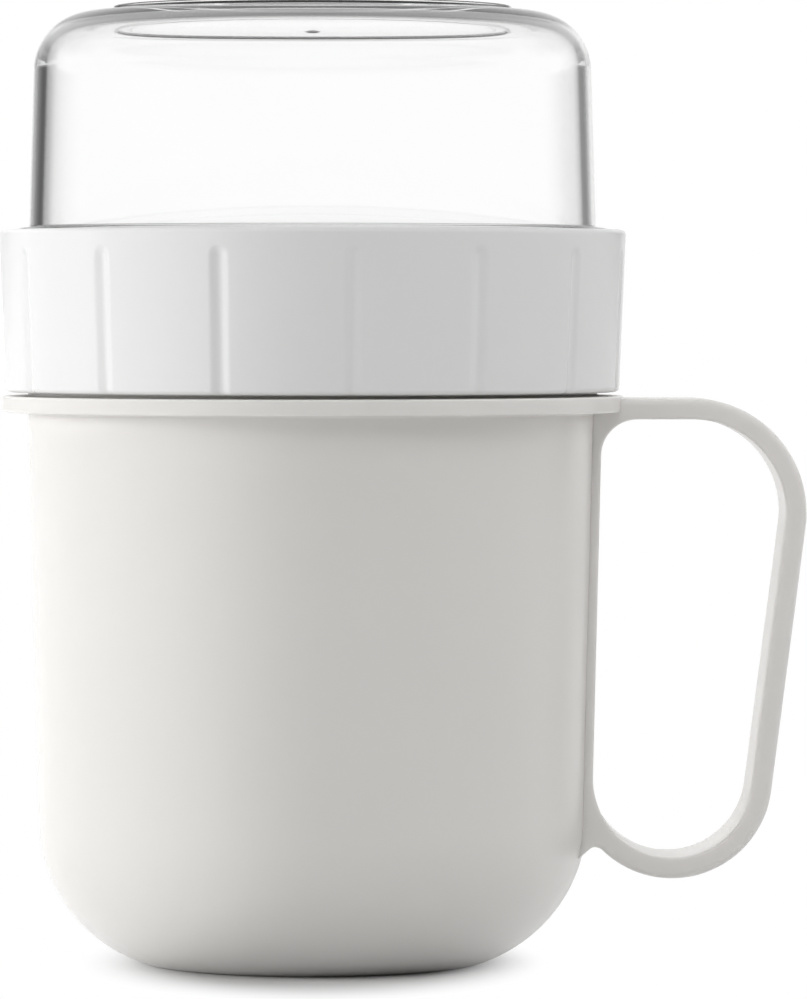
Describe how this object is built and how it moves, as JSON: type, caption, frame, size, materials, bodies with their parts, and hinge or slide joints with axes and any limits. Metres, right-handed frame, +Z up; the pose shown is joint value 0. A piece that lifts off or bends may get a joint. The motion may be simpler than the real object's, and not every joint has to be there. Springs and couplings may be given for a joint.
{
  "type": "breakfast cup",
  "caption": "Two-part breakfast cup: a white mug with a loop handle, a fluted screw collar with a partition, and a clear bowl carried upside down on top.",
  "frame": {"origin": "centre of the mug's foot, on the table plane", "axes": "+Z up along the cup's axis, +X towards the handle, and -Y is the front that the picture shows"},
  "size_m": [0.1284, 0.1, 0.1524],
  "materials": {
    "mug": "fine matt moulded polypropylene, warm white",
    "screw_collar": "smooth satin-gloss polypropylene, white",
    "clear_bowl": "polished clear plastic",
    "seals": "translucent silicone, pale grey"
  },
  "bodies": {
    "mug": {"mug": "mug"},
    "mug_seal": {"mug_seal": "seals"},
    "collar": {"screw_collar": "screw_collar"},
    "bowl_seal": {"bowl_seal": "seals"},
    "bowl": {"clear_bowl": "clear_bowl"}
  },
  "joints": [
    {"name": "collar_rise", "type": "slide", "parent": "mug", "child": "mug_seal", "axis": [0, 0, 1], "range_m": [0, 0.012]},
    {"name": "collar_turn", "type": "hinge", "parent": "mug_seal", "child": "collar", "pos_m": [0, 0, 0.104], "axis": [0, 0, 1], "range_deg": [0, 540]},
    {"name": "bowl_rise", "type": "slide", "parent": "collar", "child": "bowl_seal", "axis": [0, 0, 1], "range_m": [0, 0.0096]},
    {"name": "bowl_turn", "type": "hinge", "parent": "bowl_seal", "child": "bowl", "pos_m": [0, 0, 0.116], "axis": [0, 0, 1], "range_deg": [0, 432]}
  ],
  "couplings": [
    {"joint": "collar_rise", "follows": "collar_turn", "m_per_rad": 0.0012732},
    {"joint": "bowl_rise", "follows": "bowl_turn", "m_per_rad": 0.0012732}
  ]
}
